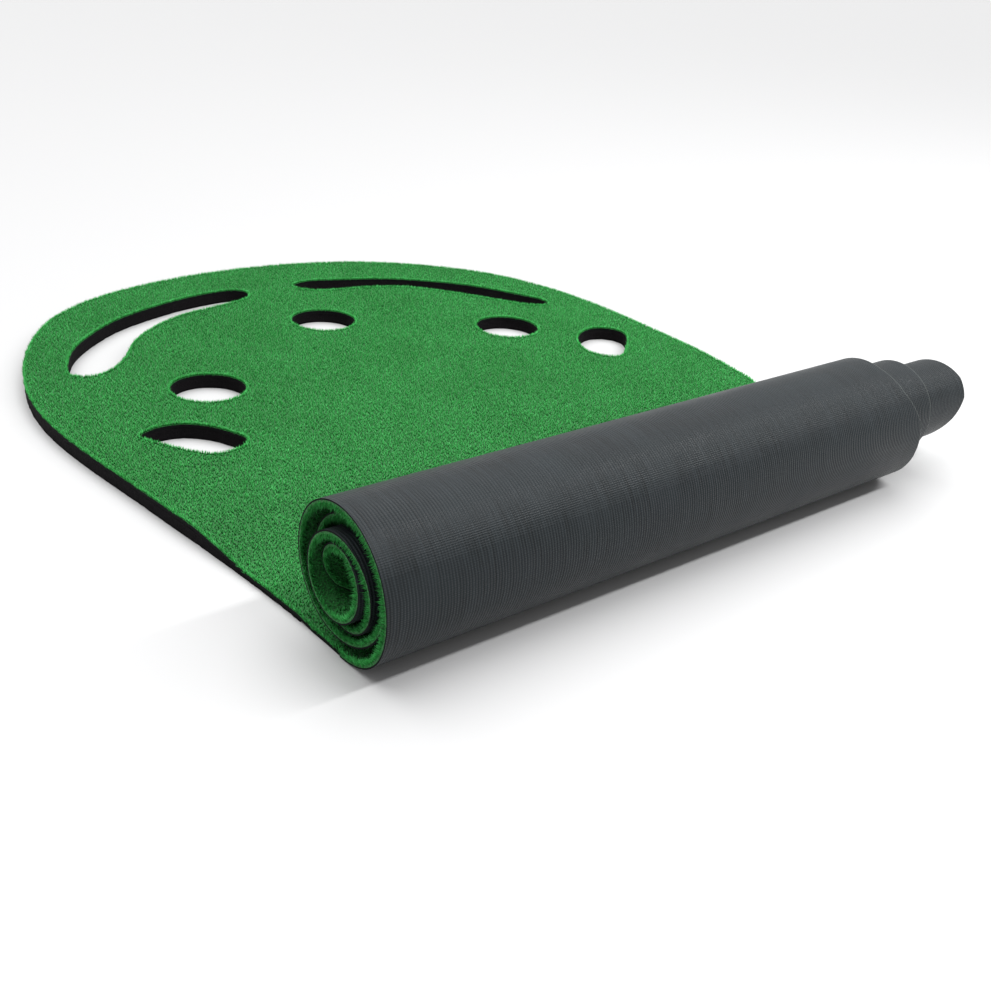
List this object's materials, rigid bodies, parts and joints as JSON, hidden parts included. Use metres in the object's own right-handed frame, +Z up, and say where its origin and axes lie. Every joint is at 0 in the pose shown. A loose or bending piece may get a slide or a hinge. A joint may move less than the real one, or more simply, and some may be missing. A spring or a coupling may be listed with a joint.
{
  "type": "practice putting mat",
  "caption": "Kidney-shaped practice putting mat: putting turf with cups and bunker cut-outs over a foam pad, far end rolled up and unrolling flat.",
  "frame": {"origin": "centre of the mat's bounding box, on the floor", "axes": "+Z up; +Y along the mat from the roll to the cup end; +X across the mat along the roll, towards the waist side"},
  "size_m": [1.0566, 1.2604, 0.1733],
  "materials": {
    "putting_turf": "dense short cut pile, matte",
    "rubber_backing": "finely ribbed slate-grey rubber, satin",
    "closed_cell_foam": "near-black closed-cell foam, matte, knife-cut edges"
  },
  "bodies": {
    "root": {"foam_pad": "closed_cell_foam", "turf_flat": "putting_turf"},
    "strip_01": {"turf_strip_01": "rubber_backing"},
    "strip_02": {"turf_strip_02": "rubber_backing"},
    "strip_03": {"turf_strip_03": "rubber_backing"},
    "strip_04": {"turf_strip_04": "rubber_backing"},
    "strip_05": {"turf_strip_05": "rubber_backing"},
    "strip_06": {"turf_strip_06": "rubber_backing"},
    "strip_07": {"turf_strip_07": "rubber_backing"},
    "strip_08": {"turf_strip_08": "rubber_backing"},
    "strip_09": {"turf_strip_09": "rubber_backing"},
    "strip_10": {"turf_strip_10": "rubber_backing"},
    "strip_11": {"turf_strip_11": "rubber_backing"},
    "strip_12": {"turf_strip_12": "rubber_backing"},
    "strip_13": {"turf_strip_13": "rubber_backing"},
    "strip_14": {"turf_strip_14": "rubber_backing"},
    "strip_15": {"turf_strip_15": "rubber_backing"},
    "strip_16": {"turf_strip_16": "rubber_backing"},
    "strip_17": {"turf_strip_17": "rubber_backing"},
    "strip_18": {"turf_strip_18": "rubber_backing"},
    "strip_19": {"turf_strip_19": "rubber_backing"},
    "strip_20": {"turf_strip_20": "rubber_backing"},
    "strip_21": {"turf_strip_21": "rubber_backing"},
    "strip_22": {"turf_strip_22": "rubber_backing"},
    "strip_23": {"turf_strip_23": "rubber_backing"},
    "strip_24": {"turf_strip_24": "rubber_backing"},
    "strip_25": {"turf_strip_25": "rubber_backing"},
    "strip_26": {"turf_strip_26": "rubber_backing"},
    "strip_27": {"turf_strip_27": "rubber_backing"},
    "strip_28": {"turf_strip_28": "rubber_backing"},
    "strip_29": {"turf_strip_29": "rubber_backing"},
    "strip_30": {"turf_strip_30": "rubber_backing"},
    "strip_31": {"turf_strip_31": "rubber_backing"},
    "strip_32": {"turf_strip_32": "rubber_backing"},
    "strip_33": {"turf_strip_33": "rubber_backing"},
    "strip_34": {"turf_strip_34": "rubber_backing"},
    "strip_35": {"turf_strip_35": "rubber_backing"},
    "strip_36": {"turf_strip_36": "rubber_backing"},
    "strip_37": {"turf_strip_37": "rubber_backing"},
    "strip_38": {"turf_strip_38": "rubber_backing"},
    "strip_39": {"turf_strip_39": "rubber_backing"},
    "strip_40": {"turf_strip_40": "rubber_backing"},
    "strip_41": {"turf_strip_41": "rubber_backing"},
    "strip_42": {"turf_strip_42": "rubber_backing"},
    "strip_43": {"turf_strip_43": "rubber_backing"},
    "strip_44": {"turf_strip_44": "rubber_backing"},
    "strip_45": {"turf_strip_45": "rubber_backing"},
    "strip_46": {"turf_strip_46": "rubber_backing"},
    "strip_47": {"turf_strip_47": "rubber_backing"},
    "strip_48": {"turf_strip_48": "rubber_backing"}
  },
  "joints": [
    {"name": "unroll", "type": "hinge", "parent": "root", "child": "strip_01", "pos_m": [0, -0.56487, 0], "axis": [1, 0, 0], "range_deg": [0, 30]},
    {"name": "unroll_02", "type": "hinge", "parent": "strip_01", "child": "strip_02", "pos_m": [0, -0.60659, 0.02408], "axis": [1, 0, 0], "range_deg": [0, 30]},
    {"name": "unroll_03", "type": "hinge", "parent": "strip_02", "child": "strip_03", "pos_m": [0, -0.63024, 0.06505], "axis": [1, 0, 0], "range_deg": [0, 30]},
    {"name": "unroll_04", "type": "hinge", "parent": "strip_03", "child": "strip_04", "pos_m": [0, -0.63024, 0.11148], "axis": [1, 0, 0], "range_deg": [0, 30]},
    {"name": "unroll_05", "type": "hinge", "parent": "strip_04", "child": "strip_05", "pos_m": [0, -0.60746, 0.15093], "axis": [1, 0, 0], "range_deg": [0, 30]},
    {"name": "unroll_06", "type": "hinge", "parent": "strip_05", "child": "strip_06", "pos_m": [0, -0.56876, 0.17328], "axis": [1, 0, 0], "range_deg": [0, 30]},
    {"name": "unroll_07", "type": "hinge", "parent": "strip_06", "child": "strip_07", "pos_m": [0, -0.52494, 0.17328], "axis": [1, 0, 0], "range_deg": [0, 30]},
    {"name": "unroll_08", "type": "hinge", "parent": "strip_07", "child": "strip_08", "pos_m": [0, -0.48775, 0.1518], "axis": [1, 0, 0], "range_deg": [0, 30]},
    {"name": "unroll_09", "type": "hinge", "parent": "strip_08", "child": "strip_09", "pos_m": [0, -0.46671, 0.11536], "axis": [1, 0, 0], "range_deg": [0, 30]},
    {"name": "unroll_10", "type": "hinge", "parent": "strip_09", "child": "strip_10", "pos_m": [0, -0.46671, 0.07416], "axis": [1, 0, 0], "range_deg": [0, 30]},
    {"name": "unroll_11", "type": "hinge", "parent": "strip_10", "child": "strip_11", "pos_m": [0, -0.48688, 0.03923], "axis": [1, 0, 0], "range_deg": [0, 30]},
    {"name": "unroll_12", "type": "hinge", "parent": "strip_11", "child": "strip_12", "pos_m": [0, -0.52106, 0.0195], "axis": [1, 0, 0], "range_deg": [0, 30]},
    {"name": "unroll_13", "type": "hinge", "parent": "strip_12", "child": "strip_13", "pos_m": [0, -0.55965, 0.0195], "axis": [1, 0, 0], "range_deg": [0, 30]},
    {"name": "unroll_14", "type": "hinge", "parent": "strip_13", "child": "strip_14", "pos_m": [0, -0.59243, 0.03843], "axis": [1, 0, 0], "range_deg": [0, 30]},
    {"name": "unroll_15", "type": "hinge", "parent": "strip_14", "child": "strip_15", "pos_m": [0, -0.61106, 0.07069], "axis": [1, 0, 0], "range_deg": [0, 30]},
    {"name": "unroll_16", "type": "hinge", "parent": "strip_15", "child": "strip_16", "pos_m": [0, -0.61106, 0.10734], "axis": [1, 0, 0], "range_deg": [0, 30]},
    {"name": "unroll_17", "type": "hinge", "parent": "strip_16", "child": "strip_17", "pos_m": [0, -0.59303, 0.13855], "axis": [1, 0, 0], "range_deg": [0, 30]},
    {"name": "unroll_18", "type": "hinge", "parent": "strip_17", "child": "strip_18", "pos_m": [0, -0.56234, 0.15627], "axis": [1, 0, 0], "range_deg": [0, 30]},
    {"name": "unroll_19", "type": "hinge", "parent": "strip_18", "child": "strip_19", "pos_m": [0, -0.5275, 0.15627], "axis": [1, 0, 0], "range_deg": [0, 30]},
    {"name": "unroll_20", "type": "hinge", "parent": "strip_19", "child": "strip_20", "pos_m": [0, -0.49785, 0.13916], "axis": [1, 0, 0], "range_deg": [0, 30]},
    {"name": "unroll_21", "type": "hinge", "parent": "strip_20", "child": "strip_21", "pos_m": [0, -0.48103, 0.11003], "axis": [1, 0, 0], "range_deg": [0, 30]},
    {"name": "unroll_22", "type": "hinge", "parent": "strip_21", "child": "strip_22", "pos_m": [0, -0.48103, 0.077], "axis": [1, 0, 0], "range_deg": [0, 30]},
    {"name": "unroll_23", "type": "hinge", "parent": "strip_22", "child": "strip_23", "pos_m": [0, -0.49724, 0.04891], "axis": [1, 0, 0], "range_deg": [0, 30]},
    {"name": "unroll_24", "type": "hinge", "parent": "strip_23", "child": "strip_24", "pos_m": [0, -0.52481, 0.033], "axis": [1, 0, 0], "range_deg": [0, 30]},
    {"name": "unroll_25", "type": "hinge", "parent": "strip_24", "child": "strip_25", "pos_m": [0, -0.55603, 0.033], "axis": [1, 0, 0], "range_deg": [0, 30]},
    {"name": "unroll_26", "type": "hinge", "parent": "strip_25", "child": "strip_26", "pos_m": [0, -0.58255, 0.04831], "axis": [1, 0, 0], "range_deg": [0, 30]},
    {"name": "unroll_27", "type": "hinge", "parent": "strip_26", "child": "strip_27", "pos_m": [0, -0.59756, 0.0743], "axis": [1, 0, 0], "range_deg": [0, 30]},
    {"name": "unroll_28", "type": "hinge", "parent": "strip_27", "child": "strip_28", "pos_m": [0, -0.59756, 0.10372], "axis": [1, 0, 0], "range_deg": [0, 30]},
    {"name": "unroll_29", "type": "hinge", "parent": "strip_28", "child": "strip_29", "pos_m": [0, -0.58315, 0.12867], "axis": [1, 0, 0], "range_deg": [0, 30]},
    {"name": "unroll_30", "type": "hinge", "parent": "strip_29", "child": "strip_30", "pos_m": [0, -0.55872, 0.14278], "axis": [1, 0, 0], "range_deg": [0, 30]},
    {"name": "unroll_31", "type": "hinge", "parent": "strip_30", "child": "strip_31", "pos_m": [0, -0.53112, 0.14278], "axis": [1, 0, 0], "range_deg": [0, 30]},
    {"name": "unroll_32", "type": "hinge", "parent": "strip_31", "child": "strip_32", "pos_m": [0, -0.50773, 0.12927], "axis": [1, 0, 0], "range_deg": [0, 30]},
    {"name": "unroll_33", "type": "hinge", "parent": "strip_32", "child": "strip_33", "pos_m": [0, -0.49453, 0.10641], "axis": [1, 0, 0], "range_deg": [0, 30]},
    {"name": "unroll_34", "type": "hinge", "parent": "strip_33", "child": "strip_34", "pos_m": [0, -0.49453, 0.08061], "axis": [1, 0, 0], "range_deg": [0, 30]},
    {"name": "unroll_35", "type": "hinge", "parent": "strip_34", "child": "strip_35", "pos_m": [0, -0.50713, 0.0588], "axis": [1, 0, 0], "range_deg": [0, 30]},
    {"name": "unroll_36", "type": "hinge", "parent": "strip_35", "child": "strip_36", "pos_m": [0, -0.52842, 0.0465], "axis": [1, 0, 0], "range_deg": [0, 30]},
    {"name": "unroll_37", "type": "hinge", "parent": "strip_36", "child": "strip_37", "pos_m": [0, -0.55241, 0.0465], "axis": [1, 0, 0], "range_deg": [0, 30]},
    {"name": "unroll_38", "type": "hinge", "parent": "strip_37", "child": "strip_38", "pos_m": [0, -0.57266, 0.05819], "axis": [1, 0, 0], "range_deg": [0, 30]},
    {"name": "unroll_39", "type": "hinge", "parent": "strip_38", "child": "strip_39", "pos_m": [0, -0.58406, 0.07792], "axis": [1, 0, 0], "range_deg": [0, 30]},
    {"name": "unroll_40", "type": "hinge", "parent": "strip_39", "child": "strip_40", "pos_m": [0, -0.58406, 0.1001], "axis": [1, 0, 0], "range_deg": [0, 30]},
    {"name": "unroll_41", "type": "hinge", "parent": "strip_40", "child": "strip_41", "pos_m": [0, -0.57327, 0.11879], "axis": [1, 0, 0], "range_deg": [0, 30]},
    {"name": "unroll_42", "type": "hinge", "parent": "strip_41", "child": "strip_42", "pos_m": [0, -0.5551, 0.12928], "axis": [1, 0, 0], "range_deg": [0, 30]},
    {"name": "unroll_43", "type": "hinge", "parent": "strip_42", "child": "strip_43", "pos_m": [0, -0.53473, 0.12928], "axis": [1, 0, 0], "range_deg": [0, 30]},
    {"name": "unroll_44", "type": "hinge", "parent": "strip_43", "child": "strip_44", "pos_m": [0, -0.51761, 0.11939], "axis": [1, 0, 0], "range_deg": [0, 30]},
    {"name": "unroll_45", "type": "hinge", "parent": "strip_44", "child": "strip_45", "pos_m": [0, -0.50803, 0.10279], "axis": [1, 0, 0], "range_deg": [0, 30]},
    {"name": "unroll_46", "type": "hinge", "parent": "strip_45", "child": "strip_46", "pos_m": [0, -0.50803, 0.08423], "axis": [1, 0, 0], "range_deg": [0, 30]},
    {"name": "unroll_47", "type": "hinge", "parent": "strip_46", "child": "strip_47", "pos_m": [0, -0.51701, 0.06868], "axis": [1, 0, 0], "range_deg": [0, 30]},
    {"name": "unroll_48", "type": "hinge", "parent": "strip_47", "child": "strip_48", "pos_m": [0, -0.53204, 0.06], "axis": [1, 0, 0], "range_deg": [0, 30]}
  ],
  "couplings": [
    {"joint": "unroll_02", "follows": "unroll", "ratio": 1},
    {"joint": "unroll_03", "follows": "unroll", "ratio": 1},
    {"joint": "unroll_04", "follows": "unroll", "ratio": 1},
    {"joint": "unroll_05", "follows": "unroll", "ratio": 1},
    {"joint": "unroll_06", "follows": "unroll", "ratio": 1},
    {"joint": "unroll_07", "follows": "unroll", "ratio": 1},
    {"joint": "unroll_08", "follows": "unroll", "ratio": 1},
    {"joint": "unroll_09", "follows": "unroll", "ratio": 1},
    {"joint": "unroll_10", "follows": "unroll", "ratio": 1},
    {"joint": "unroll_11", "follows": "unroll", "ratio": 1},
    {"joint": "unroll_12", "follows": "unroll", "ratio": 1},
    {"joint": "unroll_13", "follows": "unroll", "ratio": 1},
    {"joint": "unroll_14", "follows": "unroll", "ratio": 1},
    {"joint": "unroll_15", "follows": "unroll", "ratio": 1},
    {"joint": "unroll_16", "follows": "unroll", "ratio": 1},
    {"joint": "unroll_17", "follows": "unroll", "ratio": 1},
    {"joint": "unroll_18", "follows": "unroll", "ratio": 1},
    {"joint": "unroll_19", "follows": "unroll", "ratio": 1},
    {"joint": "unroll_20", "follows": "unroll", "ratio": 1},
    {"joint": "unroll_21", "follows": "unroll", "ratio": 1},
    {"joint": "unroll_22", "follows": "unroll", "ratio": 1},
    {"joint": "unroll_23", "follows": "unroll", "ratio": 1},
    {"joint": "unroll_24", "follows": "unroll", "ratio": 1},
    {"joint": "unroll_25", "follows": "unroll", "ratio": 1},
    {"joint": "unroll_26", "follows": "unroll", "ratio": 1},
    {"joint": "unroll_27", "follows": "unroll", "ratio": 1},
    {"joint": "unroll_28", "follows": "unroll", "ratio": 1},
    {"joint": "unroll_29", "follows": "unroll", "ratio": 1},
    {"joint": "unroll_30", "follows": "unroll", "ratio": 1},
    {"joint": "unroll_31", "follows": "unroll", "ratio": 1},
    {"joint": "unroll_32", "follows": "unroll", "ratio": 1},
    {"joint": "unroll_33", "follows": "unroll", "ratio": 1},
    {"joint": "unroll_34", "follows": "unroll", "ratio": 1},
    {"joint": "unroll_35", "follows": "unroll", "ratio": 1},
    {"joint": "unroll_36", "follows": "unroll", "ratio": 1},
    {"joint": "unroll_37", "follows": "unroll", "ratio": 1},
    {"joint": "unroll_38", "follows": "unroll", "ratio": 1},
    {"joint": "unroll_39", "follows": "unroll", "ratio": 1},
    {"joint": "unroll_40", "follows": "unroll", "ratio": 1},
    {"joint": "unroll_41", "follows": "unroll", "ratio": 1},
    {"joint": "unroll_42", "follows": "unroll", "ratio": 1},
    {"joint": "unroll_43", "follows": "unroll", "ratio": 1},
    {"joint": "unroll_44", "follows": "unroll", "ratio": 1},
    {"joint": "unroll_45", "follows": "unroll", "ratio": 1},
    {"joint": "unroll_46", "follows": "unroll", "ratio": 1},
    {"joint": "unroll_47", "follows": "unroll", "ratio": 1},
    {"joint": "unroll_48", "follows": "unroll", "ratio": 1}
  ]
}
